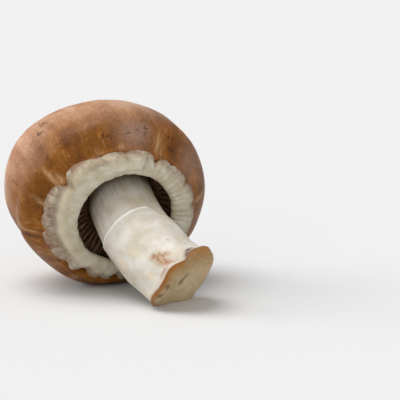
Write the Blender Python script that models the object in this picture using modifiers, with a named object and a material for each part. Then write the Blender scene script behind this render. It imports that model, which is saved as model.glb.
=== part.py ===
# A brown button mushroom lying on its side, as picked: cap, gills, torn veil and stem.
# Each piece is modelled upright about the middle of the cap's widest circle, cap uppermost.
# One empty then lays the whole mushroom down, so that it rests on its cap and its cut stem.
# Lengths are millimetres until a mesh is made. Angles run round the stem's axis, from the side
# that lies downwards towards +X, and a drop is a distance below the cap's widest circle.

import math

import bmesh
import bpy
from mathutils import Vector, noise

MM = 0.001

# Driving dimensions of the cap
CAP_RADIUS = 26.0
DOME_HEIGHT = 24.6
DOME_ROUNDNESS_UP = 3.0
DOME_ROUNDNESS_OUT = 2.2
DOME_LEAN = Vector((-5.6, 1.9))
DOME_RINGS = 12
CAP_OVAL = 0.02
CAP_OVAL_ANGLE = math.radians(50)
CAP_STEPS = 60

# Broad swellings round the dome: lobes, size, phase, and the heights between which each grows in
SWELLINGS = ((3, 0.45, 0.6, 0.0, 8.0), (2, 0.3, -1.1, -1.0, 14.0))
FLAT_SIDE_DEPTH = 0.55
FLAT_SIDE_ANGLE = math.radians(315)
FLAT_SIDE_WIDTH = math.radians(38)
FLAT_SIDE_HEIGHTS = (-9.5, 1.0)
SHOULDER_SIZE = 2.0
SHOULDER_ANGLE = math.radians(287)
SHOULDER_WIDTH = math.radians(15)
SHOULDER_LOW_FADE = (-8.5, -1.5)
SHOULDER_HIGH_FADE = (15.0, 4.0)

# The margin curls in under the cap and ends in a rounded tip
MARGIN_DROP = 8.25
MARGIN_RADIUS = 21.05
MARGIN_CURL = 2.6
MARGIN_LEAN = Vector((-1.2, 1.1))
MARGIN_RINGS = 6
MARGIN_TIP_RADIUS = 1.6
MARGIN_TIP_MIDDLE = Vector((19.3, -8.3))
MARGIN_TIP_TURNS = (30, 65, 100, 135, 170)

# The hollow under the cap, where the gills hang, and the seat of the stem
HOLLOW_RADIUS = 18.4
HOLLOW_WALL_DROP = 5.6
HOLLOW_EDGE = 1.2
CEILING_DROP = 3.1
CEILING_INNER_RADIUS = 10.5
CEILING_OUTER_RADIUS = 18.0
SEAT_RADIUS = 9.75
SEAT_DROP = 1.3
SEAT_EDGE = Vector((0.5, 0.3))
SEAT_OFFSET = Vector((0.3, -1.2))

# Gills: blades raised from one thin ring
GILL_COUNT = 50
GILL_STEPS_EACH = 4
GILL_INNER_RADIUS = 10.5
GILL_OUTER_RADIUS = 17.9
GILL_OFFSET = Vector((0.4, -0.4))
GILL_PLATE = 0.8
GILL_DEPTH = 2.6
GILL_RINGS = 6
GILL_OUTER_DIP = 0.9
GILL_OUTER_INSET = 0.45

# Veil, torn from the stem and left hanging on the cap's margin
VEIL_THICKNESS = 0.75
VEIL_SLACK = 0.05
VEIL_BELLY = (
    (13.25, 9.75), (13.1, 10.6), (13.7, 11.45), (15.2, 11.75),
    (17.2, 11.55), (19.3, 11.1), (21.1, 10.2),
)
VEIL_MOUTH_LEAN = Vector((-0.6, 0.4))
VEIL_REACH = -1.3
VEIL_REACH_OVAL = 1.3
VEIL_REACH_OVAL_ANGLE = math.radians(75)
VEIL_REACH_LEAN = 0.6
VEIL_REACH_LEAN_ANGLE = math.radians(200)
VEIL_TEARS = (
    (12, 0.8), (38, 0.9), (64, 1.1), (122, 1.2), (157, 1.6), (198, 0.9),
    (238, 1.7), (286, 0.9), (313, 1.2), (338, 0.8),
)
VEIL_TEAR_WIDTH = math.radians(6)
VEIL_RAGGED = 0.25
VEIL_MOUTH_WAVE = 0.35
VEIL_FLUTES = 17
VEIL_FLUTE_DEPTH = 0.22
VEIL_ON_CAP = (17.0, 20.0)
VEIL_TOP_DROP = 2.5
VEIL_PATH_STEP = 0.75
VEIL_STEPS = 84
VEIL_POINTS = 8

# Stem: its centre line in (right, down when lying, drop), and its radii down that line
STEM_ROOT = Vector((0.3, -1.8, 1.6))
STEM_BEND = Vector((0.0, 5.4, 20.5))
STEM_END = Vector((8.1, 5.6, 33.5))
STEM_CUT_FACING = Vector((0.36, 0.30, 0.88))
STEM_RADII = (
    (0.0, 8.9), (0.18, 9.0), (0.32, 9.15), (0.35, 9.6), (0.6, 9.6),
    (0.8, 9.4), (0.92, 9.7), (1.0, 10.3),
)
STEM_OVAL = 0.08
STEM_OVAL_ANGLE = math.radians(-10)
STEM_LIP = 0.7
STEM_LIP_ANGLE = math.radians(166)
STEM_LIP_WIDTH = 0.4
STEM_UNEVENNESS = 0.25
STEM_CUT_DISH = 0.5
STEM_STEPS = 36
STEM_RINGS = 20

# How the mushroom lies: the middle of its outline stands over the origin
LYING_TILT = math.radians(20.7)
CAP_CENTRE = Vector((0.73, 5.28, 24.65))
SLAB_DEPTH = 10.0
SLAB_WIDTH = 200.0

FIT_GAP = 0.3
SHARP_ANGLE = math.radians(40)
WELD_DISTANCE = 0.000005
TURN_MERGE = 0.00001

SKIN_BROWN = (0.42, 0.20, 0.085, 1.0)
GILL_BROWN = (0.10, 0.055, 0.035, 1.0)
VEIL_CREAM = (0.80, 0.75, 0.66, 1.0)
STEM_WHITE = (0.86, 0.83, 0.77, 1.0)


def clear_scene():
    for old in list(bpy.data.objects):
        bpy.data.objects.remove(old, do_unlink=True)


def new_collection(name):
    collection = bpy.data.collections.new(name)
    bpy.context.scene.collection.children.link(collection)
    return collection


def plain_material(name, colour, roughness):
    material = bpy.data.materials.new(name)
    material.use_nodes = True
    shader = material.node_tree.nodes["Principled BSDF"]
    shader.inputs["Base Color"].default_value = colour
    shader.inputs["Roughness"].default_value = roughness
    shader.inputs["Metallic"].default_value = 0.0
    material.diffuse_color = colour
    return material


def blend(low, high, value):
    """A smooth step from 0 at low to 1 at high."""
    share = min(1.0, max(0.0, (value - low) / (high - low)))
    return share * share * (3 - 2 * share)


def bump(angle, middle, width):
    """1 at the middle angle, falling away to nothing on both sides."""
    away = math.remainder(angle - middle, 2 * math.pi)
    return math.exp(-((away / width) ** 2))


def ring_noise(angle, scale, level):
    """Even noise round a circle, with no seam where the circle closes."""
    return noise.noise(Vector((math.sin(angle) * scale, math.cos(angle) * scale, level)))


def around(radius, angle, shift, height):
    return Vector((radius * math.sin(angle) + shift.x, radius * math.cos(angle) + shift.y, height))


def turned_mesh(name, profile, steps, closed):
    """The mesh of a (radius, height) profile turned about Z. A closed profile makes a ring."""
    outline = bpy.data.meshes.new(name + "_outline")
    shape = bmesh.new()
    points = [shape.verts.new((radius, 0, height)) for radius, height in profile]
    for first, second in zip(points, points[1:]):
        shape.edges.new((first, second))
    if closed:
        shape.edges.new((points[-1], points[0]))
    shape.to_mesh(outline)
    shape.free()
    helper = bpy.data.objects.new(name + "_outline", outline)
    bpy.context.scene.collection.objects.link(helper)
    screw = helper.modifiers.new("turn", "SCREW")
    screw.steps = steps
    screw.render_steps = steps
    screw.use_merge_vertices = True
    screw.merge_threshold = TURN_MERGE
    bpy.context.view_layer.update()
    graph = bpy.context.evaluated_depsgraph_get()
    mesh = bpy.data.meshes.new_from_object(helper.evaluated_get(graph))
    mesh.name = name
    bpy.data.objects.remove(helper, do_unlink=True)
    bpy.data.meshes.remove(outline)
    return mesh


def add_piece(name, mesh, place, material, collection, parent):
    """Carry each point of the mesh through place, face the surface outwards and make the object."""
    shape = bmesh.new()
    shape.from_mesh(mesh)
    for point in shape.verts:
        point.co = place(point.co) * MM
    bmesh.ops.remove_doubles(shape, verts=shape.verts, dist=WELD_DISTANCE)
    bmesh.ops.recalc_face_normals(shape, faces=shape.faces)
    shape.to_mesh(mesh)
    shape.free()
    mesh.shade_smooth()
    mesh.set_sharp_from_angle(angle=SHARP_ANGLE)
    mesh.materials.clear()
    mesh.materials.append(material)
    piece = bpy.data.objects.new(name, mesh)
    collection.objects.link(piece)
    piece.parent = parent
    return piece


# The cap

def cap_lean(height):
    """How far the cap's middle stands off its axis at a height: the dome leans, and so does the margin."""
    if height > 0:
        return DOME_LEAN * (height / DOME_HEIGHT) ** 1.5
    return MARGIN_LEAN * min(1.0, -height / MARGIN_DROP)


def oval(angle):
    return 1 + CAP_OVAL * math.cos(2 * (angle - CAP_OVAL_ANGLE))


def margin_radius(drop):
    """Radius of the cap's outside below its widest circle."""
    return CAP_RADIUS - (CAP_RADIUS - MARGIN_RADIUS) * (drop / MARGIN_DROP) ** MARGIN_CURL


def dome_swelling(angle, height):
    """How far the cap's outside stands out of a true circle."""
    swelling = -FLAT_SIDE_DEPTH * bump(angle, FLAT_SIDE_ANGLE, FLAT_SIDE_WIDTH) * blend(*FLAT_SIDE_HEIGHTS, height)
    shoulder = SHOULDER_SIZE * bump(angle, SHOULDER_ANGLE, SHOULDER_WIDTH)
    swelling += shoulder * blend(*SHOULDER_LOW_FADE, height) * blend(*SHOULDER_HIGH_FADE, height)
    for lobes, size, phase, low, high in SWELLINGS:
        swelling += size * math.sin(lobes * angle + phase) * blend(low, high, height)
    return swelling


def cap_profile():
    """From the top of the dome, down the outside, round the margin and back up into the stem's seat."""
    profile = [(0.0, DOME_HEIGHT)]
    for ring in range(DOME_RINGS - 1, -1, -1):
        angle = math.pi / 2 * ring / DOME_RINGS
        radius = CAP_RADIUS * math.cos(angle) ** (2 / DOME_ROUNDNESS_OUT)
        height = DOME_HEIGHT * math.sin(angle) ** (2 / DOME_ROUNDNESS_UP)
        profile.append((radius, height))
    for ring in range(1, MARGIN_RINGS + 1):
        drop = MARGIN_DROP * ring / MARGIN_RINGS
        profile.append((margin_radius(drop), -drop))
    for turn in MARGIN_TIP_TURNS:
        angle = math.radians(turn)
        edge = Vector((math.cos(angle), -math.sin(angle))) * MARGIN_TIP_RADIUS
        profile.append(tuple(MARGIN_TIP_MIDDLE + edge))
    profile.append((HOLLOW_RADIUS, -HOLLOW_WALL_DROP))
    profile.append((HOLLOW_RADIUS - HOLLOW_EDGE / 4, -CEILING_DROP - HOLLOW_EDGE * 2 / 3))
    profile.append((HOLLOW_RADIUS - HOLLOW_EDGE, -CEILING_DROP))
    profile.append(((HOLLOW_RADIUS + SEAT_RADIUS) / 2, -CEILING_DROP))
    profile.append((SEAT_RADIUS, -CEILING_DROP))
    profile.append((SEAT_RADIUS, -SEAT_DROP - SEAT_EDGE.y))
    profile.append((SEAT_RADIUS - SEAT_EDGE.x, -SEAT_DROP))
    profile.append((0.0, -SEAT_DROP))
    return profile


def place_cap_point(point):
    """The seat sits a little off the cap's middle, and the outside follows the cap's lean."""
    radius = math.hypot(point.x, point.y)
    angle = math.atan2(point.x, point.y)
    lean = cap_lean(point.z)
    outside = point.z >= 0 or radius > HOLLOW_RADIUS + 0.5
    on_ceiling = not outside and point.z >= -CEILING_DROP - 0.01
    if on_ceiling:
        lean = SEAT_OFFSET.lerp(lean, blend(CEILING_INNER_RADIUS, CEILING_OUTER_RADIUS, radius))
    else:
        radius *= oval(angle)
    if outside:
        radius += dome_swelling(angle, point.z) * blend(0, 2, radius)
    return around(radius, angle, lean, point.z)


# The gills

def gill_profile():
    """A flat band in plain numbers: radius is true, and height is 1 on the plate and 0 on the gills' edge."""
    span = GILL_OUTER_RADIUS - GILL_INNER_RADIUS
    upper = [GILL_INNER_RADIUS + span * ring / 2 for ring in range(3)]
    lower = [GILL_OUTER_RADIUS - span * ring / GILL_RINGS for ring in range(GILL_RINGS + 1)]
    return [(radius, 1.0) for radius in upper] + [(radius, 0.0) for radius in lower]


def place_gill_point(point):
    """Blades stand down from the plate, deepest half way out and thinning to nothing at both ends."""
    radius = math.hypot(point.x, point.y)
    angle = math.atan2(point.x, point.y)
    share = (radius - GILL_INNER_RADIUS) / (GILL_OUTER_RADIUS - GILL_INNER_RADIUS)
    at_rim = blend(0.82, 1.0, share)
    drop = CEILING_DROP + FIT_GAP + GILL_OUTER_DIP * at_rim
    if point.z < 0.5:
        phase = (angle / (2 * math.pi) * GILL_COUNT) % 1.0
        on_blade = phase < 0.49 or phase > 0.99
        drop += GILL_PLATE
        if on_blade:
            drop += GILL_DEPTH * math.sin(math.pi * (0.04 + 0.88 * share)) ** 0.6
    outward = blend(CEILING_INNER_RADIUS, CEILING_OUTER_RADIUS, radius)
    shift = GILL_OFFSET.lerp(cap_lean(-drop), outward)
    radius = radius * (1 + (oval(angle) - 1) * outward) - GILL_OUTER_INSET * at_rim
    return around(radius, angle, shift, -drop)


# The veil

def veil_edge_reach(angle):
    """How far past the margin's curl the veil's torn edge reaches, with a notch at each tear."""
    reach = VEIL_REACH + VEIL_REACH_OVAL * math.cos(2 * (angle - VEIL_REACH_OVAL_ANGLE))
    reach += VEIL_REACH_LEAN * math.cos(angle - VEIL_REACH_LEAN_ANGLE)
    for tear_angle, depth in VEIL_TEARS:
        reach -= depth * bump(angle, math.radians(tear_angle), VEIL_TEAR_WIDTH)
    return reach + VEIL_RAGGED * ring_noise(angle, 6, 1.7)


def veil_path():
    """Outer surface of the veil in section, from its mouth over the swollen rim and up the cap's side."""
    proud = FIT_GAP + VEIL_THICKNESS + VEIL_SLACK
    path = [Vector(point) for point in VEIL_BELLY]
    drop = MARGIN_DROP
    while drop > VEIL_TOP_DROP:
        here = Vector((margin_radius(drop), drop))
        along = (Vector((margin_radius(drop - 0.1), drop - 0.1)) - here).normalized()
        path.append(here + Vector((-along.y, along.x)) * proud)
        drop -= VEIL_PATH_STEP
    return path


VEIL_PATH = veil_path()
VEIL_CURL_START = sum((b - a).length for a, b in zip(VEIL_PATH[:len(VEIL_BELLY)], VEIL_PATH[1:]))


def along_veil(distance):
    """Point and outward normal in section at a distance along the veil's outer surface."""
    for first, second in zip(VEIL_PATH, VEIL_PATH[1:]):
        step = (second - first).length
        if distance <= step:
            along = (second - first).normalized()
            return first + along * distance, Vector((-along.y, along.x))
        distance -= step
    return VEIL_PATH[-1], Vector((1, 0))


def veil_profile():
    """A flat band in plain numbers: radius 10 at the mouth and 11 at the torn edge, height 1 outside, 0 inside."""
    outside = [(10 + ring / VEIL_POINTS, 1.0) for ring in range(VEIL_POINTS + 1)]
    inside = [(10 + ring / VEIL_POINTS, 0.0) for ring in range(VEIL_POINTS, -1, -1)]
    return outside + inside


def place_veil_point(point):
    """Wrap the band over the margin. Shallow flutes run out from the mouth on its outer side."""
    share = math.hypot(point.x, point.y) - 10
    angle = math.atan2(point.x, point.y)
    spot, normal = along_veil(share * (VEIL_CURL_START + veil_edge_reach(angle)))
    if point.z < 0.5:
        spot = spot - normal * VEIL_THICKNESS
    else:
        flute = math.sin(angle * VEIL_FLUTES + 2 * math.sin(3 * angle)) * math.sin(math.pi * share)
        spot = spot + normal * VEIL_FLUTE_DEPTH * flute
    radius = (spot.x + VEIL_MOUTH_WAVE * ring_noise(angle, 2.5, 4.2) * (1 - share)) * oval(angle)
    radius += dome_swelling(angle, -spot.y) * blend(*VEIL_ON_CAP, spot.x)
    shift = VEIL_MOUTH_LEAN.lerp(MARGIN_LEAN, blend(14, 21, spot.x))
    return around(radius, angle, shift, -spot.y)


# The stem

def stem_radius(share):
    for (start, low), (end, high) in zip(STEM_RADII, STEM_RADII[1:]):
        if share <= end:
            return low + (high - low) * (share - start) / (end - start)
    return STEM_RADII[-1][1]


def stem_centre(share):
    """Centre line of the stem and its direction, at a share of its length from the root."""
    rest = 1 - share
    centre = STEM_ROOT * rest * rest + STEM_BEND * 2 * share * rest + STEM_END * share * share
    along = (STEM_BEND - STEM_ROOT) * rest + (STEM_END - STEM_BEND) * share
    return centre, along.normalized()


def stem_profile():
    """A plain rod in shares of the length: height 0 at the root and -1 at the cut, where the face is dished."""
    profile = [(0.0, 0.0), (0.55, 0.0)]
    profile += [(1.0, -ring / STEM_RINGS) for ring in range(STEM_RINGS + 1)]
    profile += [(0.9, -1.0), (0.55, -1.0), (0.0, -1.0)]
    return profile


def place_stem_point(point):
    """The root is level with its seat, the rings then turn square to the centre line, and the cut is oblique."""
    width = math.hypot(point.x, point.y)
    angle = math.atan2(point.x, point.y)
    share = min(1.0, max(0.0, -point.z))
    centre, along = stem_centre(share)
    facing = Vector((0, 0, 1)).lerp(along, blend(0.0, 0.4, share)).lerp(STEM_CUT_FACING, blend(0.6, 1.0, share))
    facing.normalize()
    across = (Vector((1, 0, 0)) - facing * facing.x).normalized()
    down = facing.cross(across)
    radius = width * stem_radius(share)
    radius *= 1 + STEM_OVAL * blend(0.3, 1.0, share) * math.cos(2 * (angle - STEM_OVAL_ANGLE))
    radius += width * STEM_LIP * blend(0.85, 1.0, share) * bump(angle, STEM_LIP_ANGLE, STEM_LIP_WIDTH)
    if width > 0.5:
        radius += STEM_UNEVENNESS * share * ring_noise(angle, 1.6, share * 3)
    spot = centre + across * radius * math.sin(angle) + down * radius * math.cos(angle)
    if share > 0.999:
        spot -= facing * STEM_CUT_DISH * (1 - blend(0.5, 0.95, width))
    return Vector((spot.x, spot.y, -spot.z))


# Laying the mushroom down

def lie_down(parent):
    """Lay the upright mushroom over, so that its stem points to -Y and dips to the surface."""
    parent.rotation_euler = (LYING_TILT - math.pi / 2, 0, 0)
    parent.location = CAP_CENTRE * MM


def rest_on_surface(pieces, cutters):
    """Trim the pieces to the level surface that they lie on, which leaves small flats at Z 0."""
    mesh = bpy.data.meshes.new("surface_slab")
    shape = bmesh.new()
    bmesh.ops.create_cube(shape, size=1)
    bmesh.ops.scale(shape, vec=(SLAB_WIDTH * MM, SLAB_WIDTH * MM, SLAB_DEPTH * MM), verts=shape.verts)
    shape.to_mesh(mesh)
    shape.free()
    slab = bpy.data.objects.new("surface_slab", mesh)
    cutters.objects.link(slab)
    slab.location = (0, 0, -SLAB_DEPTH / 2 * MM)
    slab.hide_render = True
    slab.display_type = "WIRE"
    for piece in pieces:
        trim = piece.modifiers.new("rest", "BOOLEAN")
        trim.operation = "DIFFERENCE"
        trim.object = slab


def build():
    clear_scene()
    pieces = new_collection("button_mushroom")
    cutters = new_collection("cutters")
    lying = bpy.data.objects.new("lying_mushroom", None)
    pieces.objects.link(lying)
    lie_down(lying)

    skin = plain_material("cap_skin", SKIN_BROWN, 0.45)
    gill_flesh = plain_material("gill_flesh", GILL_BROWN, 0.8)
    veil_flesh = plain_material("veil_flesh", VEIL_CREAM, 0.6)
    stem_flesh = plain_material("stem_flesh", STEM_WHITE, 0.55)

    cap_mesh = turned_mesh("cap", cap_profile(), CAP_STEPS, False)
    cap = add_piece("cap", cap_mesh, place_cap_point, skin, pieces, lying)
    gill_mesh = turned_mesh("gills", gill_profile(), GILL_COUNT * GILL_STEPS_EACH, True)
    add_piece("gills", gill_mesh, place_gill_point, gill_flesh, pieces, lying)
    veil_mesh = turned_mesh("veil", veil_profile(), VEIL_STEPS, True)
    add_piece("veil", veil_mesh, place_veil_point, veil_flesh, pieces, lying)
    stem_mesh = turned_mesh("stem", stem_profile(), STEM_STEPS, False)
    stem = add_piece("stem", stem_mesh, place_stem_point, stem_flesh, pieces, lying)
    rest_on_surface((cap, stem), cutters)


build()
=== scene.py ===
import math

import bmesh
import bpy
from mathutils import Matrix, Vector, noise


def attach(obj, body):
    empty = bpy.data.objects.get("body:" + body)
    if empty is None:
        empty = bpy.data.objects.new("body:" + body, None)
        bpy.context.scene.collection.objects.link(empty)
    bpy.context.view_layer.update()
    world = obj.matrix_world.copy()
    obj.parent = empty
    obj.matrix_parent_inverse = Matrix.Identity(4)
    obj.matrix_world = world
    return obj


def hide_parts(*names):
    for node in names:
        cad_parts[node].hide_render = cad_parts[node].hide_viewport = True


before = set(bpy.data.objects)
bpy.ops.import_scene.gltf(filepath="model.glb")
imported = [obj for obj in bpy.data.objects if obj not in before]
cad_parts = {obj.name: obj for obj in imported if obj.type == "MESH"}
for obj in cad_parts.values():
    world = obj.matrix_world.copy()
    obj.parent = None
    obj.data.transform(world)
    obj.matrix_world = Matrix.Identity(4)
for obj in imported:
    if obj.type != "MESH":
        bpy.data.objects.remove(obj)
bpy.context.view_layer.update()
print("frame loaded")

# Lengths are millimetres and the mushroom is upright until a piece is finished.
# Angles are degrees round the stem's axis, from the side that lies down towards +X.
mm = 0.001

lying = {
    "tilt": math.radians(20.7),
    "capCentre": Vector((0.73, 5.28, 24.65)),  # middle of the cap's widest circle
}
layDown = Matrix.Translation(lying["capCentre"]) @ Matrix.Rotation(lying["tilt"] - math.pi / 2, 4, "X")


def addObject(name, data):
    made = bpy.data.objects.new(name, data)
    bpy.context.scene.collection.objects.link(made)
    return made


# Camera

cameraValues = {
    "lens": 120.0,
    "sensor": 36.0,
    "right": Vector((0.914, -0.405, 0.0)).normalized(),
    "back": Vector((-0.399, -0.901, 0.168)).normalized(),
    "fromCap": (23.07, -0.92, 361.54),  # right, up and back from the cap's middle
}


def makeCamera():
    right = cameraValues["right"]
    back = cameraValues["back"]
    up = back.cross(right).normalized()
    aside, above, away = cameraValues["fromCap"]
    place = lying["capCentre"] + right * aside + up * above + back * away
    lens = bpy.data.cameras.new("camera")
    lens.lens = cameraValues["lens"]
    lens.sensor_width = cameraValues["sensor"]
    lens.clip_start = 0.01
    lens.clip_end = 20
    camera = addObject("camera", lens)
    turn = Matrix((right, up, back)).transposed().to_4x4()
    camera.matrix_world = Matrix.Translation(place * mm) @ turn
    bpy.context.scene.camera = camera


makeCamera()
print("camera made")


# Shapes that several pieces share

def ease(low, high, value):  # 0 at low, 1 at high, smooth between
    share = min(1.0, max(0.0, (value - low) / (high - low)))
    return share * share * (3 - 2 * share)


def apart(angle, middle):  # how many degrees from middle, between -180 and 180
    return (angle - middle + 180) % 360 - 180


def bell(away):  # 1 at 0, fading on both sides
    return math.exp(-(away ** 2))


def swell(angle, middle, width):  # 1 at the middle angle, fading on both sides
    return bell(apart(angle, middle) / width)


def swells(angle, bumps):  # bumps are (middle angle, size, width)
    return sum(size * swell(angle, middle, width) for middle, size, width in bumps)


def onCircle(angle, size=1.0):
    turn = math.radians(angle)
    return math.sin(turn) * size, math.cos(turn) * size


def ringNoise(angle, scale, level):  # closes on itself round the stem's axis
    return noise.noise(Vector((*onCircle(angle, scale), level)))


def streakNoise(angle, scale, run, runScale):  # long along the piece and narrow across it
    return ringNoise(angle, scale, run * runScale)


def dented(spot, dents):  # dents are (height, breadth) in mm
    return sum(height * noise.noise(spot / breadth) for height, breadth in dents)


def angleOf(spot):
    return math.degrees(math.atan2(spot.x, spot.y)) % 360


def around(radius, angle, shift, height):
    across, along = onCircle(angle, radius)
    return Vector((across + shift.x, along + shift.y, height))


def evenly(line, gap):  # the same line with its points a gap apart
    lengths = [0.0]
    for first, second in zip(line, line[1:]):
        lengths.append(lengths[-1] + (second - first).length)
    count = max(2, round(lengths[-1] / gap))
    points = []
    place = 0
    for index in range(count + 1):
        distance = lengths[-1] * index / count
        while place < len(line) - 2 and lengths[place + 1] < distance:
            place += 1
        span = lengths[place + 1] - lengths[place]
        share = (distance - lengths[place]) / span if span > 0 else 0.0
        points.append(line[place].lerp(line[place + 1], min(1.0, share)))
    return points


def rounded(line, rounds):  # cuts the corners of a line
    for _ in range(rounds):
        cut = [line[0]]
        for first, second in zip(line, line[1:]):
            cut += [first.lerp(second, 0.25), first.lerp(second, 0.75)]
        line = cut + [line[-1]]
    return line


def spinLine(line, steps, closed=False):  # turns a line of (radius, height) into a closed surface
    shape = bmesh.new()
    run = shape.verts.layers.float.new("run")
    wide = shape.verts.layers.float.new("wide")
    corners = []
    distance = 0.0
    for index, point in enumerate(line):
        if index:
            distance += (point - line[index - 1]).length
        corner = shape.verts.new((point.x, 0, point.y))
        corner[run] = distance
        corner[wide] = point.x
        corners.append(corner)
    edges = [shape.edges.new(pair) for pair in zip(corners, corners[1:])]
    if closed:
        edges.append(shape.edges.new((corners[-1], corners[0])))
    cuts = 5  # a few steps are spun and each is then cut, because a long spin is slow
    bmesh.ops.spin(
        shape, geom=corners + edges, cent=(0, 0, 0), axis=(0, 0, 1), dvec=(0, 0, 0),
        angle=math.tau, steps=steps // cuts, use_merge=True, use_normal_flip=False, use_duplicate=False,
    )
    bmesh.ops.remove_doubles(shape, verts=shape.verts, dist=0.0001)
    rings = [edge for edge in shape.edges if abs(edge.verts[0][run] - edge.verts[1][run]) < 0.00001]
    bmesh.ops.subdivide_edges(shape, edges=rings, cuts=cuts - 1)
    for point in shape.verts:  # back onto the circle
        straight = math.hypot(point.co.x, point.co.y)
        if straight > 0:
            point.co.xy = point.co.xy * (point[wide] / straight)
    bmesh.ops.recalc_face_normals(shape, faces=shape.faces)
    return shape


def nearMarks(marks, angle):  # the marks that reach an angle, each with how far it is away
    found = []
    for middle, place, width, length, strength in marks:
        away = apart(angle, middle) / width
        if abs(away) < 2.5:
            found.append((away * away, place, length, strength))
    return found


def markStrength(near, place):  # the strongest of the near marks at a place along the piece
    strongest = 0.0
    for away, middle, length, strength in near:
        along = (place - middle) / length
        if abs(along) < 2.5:
            strongest = max(strongest, strength * math.exp(-away - along * along))
    return strongest


def paintMarks(point, layers, marks, near, angle, place, shown):  # near keeps each column's marks
    column = round(angle, 2)
    if column not in near:
        near[column] = {name: nearMarks(spots, angle) for name, spots in marks.items()}
    for name, spots in near[column].items():
        point[layers[name]] = markStrength(spots, place) if shown else 0.0


def setLayers(point, layers, values):
    for name, value in values.items():
        point[layers[name]] = value


def finishPiece(name, shape, material, node):  # lays the shape down and makes the object
    for point in shape.verts:
        spot = (layDown @ point.co) * mm
        spot.z = max(spot.z, 0.0)  # flesh lies flat on the surface
        point.co = spot
    mesh = bpy.data.meshes.new(name)
    shape.to_mesh(mesh)
    shape.free()
    mesh.shade_smooth()
    mesh.materials.append(material)
    piece = addObject(name, mesh)
    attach(piece, "root")
    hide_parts(node)
    print(name, "made with", len(mesh.polygons), "faces")
    return piece


# Shading helpers

def paint(red, green, blue):  # screen colour to light
    channels = []
    for value in (red, green, blue):
        share = value / 255
        channels.append(share / 12.92 if share <= 0.04045 else ((share + 0.055) / 1.055) ** 2.4)
    return (*channels, 1.0)


def addNode(tree, kind, values=None, **settings):
    made = tree.nodes.new("ShaderNode" + kind)
    for name, value in settings.items():
        setattr(made, name, value)
    for socket, value in (values or {}).items():
        if isinstance(value, bpy.types.NodeSocket):
            tree.links.new(value, made.inputs[socket])
        else:
            made.inputs[socket].default_value = value
    return made


def attribute(tree, name, output="Fac"):
    return addNode(tree, "Attribute", attribute_name=name).outputs[output]


def mixed(tree, mask, under, over):  # over shows where the mask is 1
    made = addNode(tree, "Mix", {0: mask, 6: under, 7: over}, data_type="RGBA")
    return made.outputs[2]


def coats(tree, colour, layers):  # each is a mask or its layer's name, then the colour over it
    for mask, *tone in layers:
        mask = attribute(tree, mask) if isinstance(mask, str) else mask
        colour = mixed(tree, mask, colour, paint(*tone) if len(tone) == 3 else tone[0])
    return colour


def calculate(tree, operation, first, second=0.0, third=0.0):
    made = addNode(tree, "Math", {0: first, 1: second, 2: third}, operation=operation)
    return made.outputs[0]


def times(tree, first, second):
    return calculate(tree, "MULTIPLY", first, second)


def timesPlus(tree, first, second, third):
    return calculate(tree, "MULTIPLY_ADD", first, second, third)


def noiseAt(tree, place, scale, detail, roughness=0.5):
    values = {"Vector": place, "Scale": scale, "Detail": detail, "Roughness": roughness}
    return addNode(tree, "TexNoise", values).outputs[0]


def between(tree, value, low, high, start=0.0, end=1.0):  # carries low..high smoothly to start..end
    values = {"Value": value, "From Min": low, "From Max": high, "To Min": start, "To Max": end}
    return addNode(tree, "MapRange", values, interpolation_type="SMOOTHSTEP").outputs[0]


def faded(tree, share, first, second):  # first where the share is 0, second where it is 1
    values = {"Factor": share, "A": first, "B": second}
    return addNode(tree, "Mix", values, data_type="FLOAT").outputs[0]


def ramp(tree, value, stops):  # stops are (place, red, green, blue)
    made = addNode(tree, "ValToRGB", {"Fac": value})
    elements = made.color_ramp.elements
    while len(elements) < len(stops):
        elements.new(0.5)
    for element, (place, *colour) in zip(elements, stops):
        element.position = place
        element.color = paint(*colour)
    return made.outputs["Color"]


def newMaterial(name, **settings):  # settings are the shader's own constant values
    material = bpy.data.materials.new(name)
    material.use_nodes = True
    tree = material.node_tree
    shader = tree.nodes["Principled BSDF"]
    for socket, value in settings.items():
        shader.inputs[socket.replace("_", " ")].default_value = value
    return material, tree, shader


def addBump(tree, shader, height, strength, distance):
    values = {"Height": height, "Strength": strength, "Distance": distance * mm}
    made = addNode(tree, "Bump", values)
    tree.links.new(made.outputs["Normal"], shader.inputs["Normal"])


def newGroup(name, settings, output):  # takes a Place and the settings, gives one value
    tree = bpy.data.node_groups.new(name, "ShaderNodeTree")
    tree.interface.new_socket(name="Place", in_out="INPUT", socket_type="NodeSocketVector")
    for label, value in settings.items():
        socket = tree.interface.new_socket(name=label, in_out="INPUT", socket_type="NodeSocketFloat")
        socket.default_value = value
    tree.interface.new_socket(name=output, in_out="OUTPUT", socket_type="NodeSocketFloat")
    given = tree.nodes.new("NodeGroupInput")
    result = tree.nodes.new("NodeGroupOutput")
    return tree, given.outputs, result.inputs[output]


def useGroup(tree, group, values):
    return addNode(tree, "Group", values, node_tree=group).outputs[0]


def fibresAt(tree, place, across, along, wander):
    values = {"Place": place, "Across": across, "Along": along, "Wander": wander}
    return useGroup(tree, fibreGroup, values)


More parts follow.
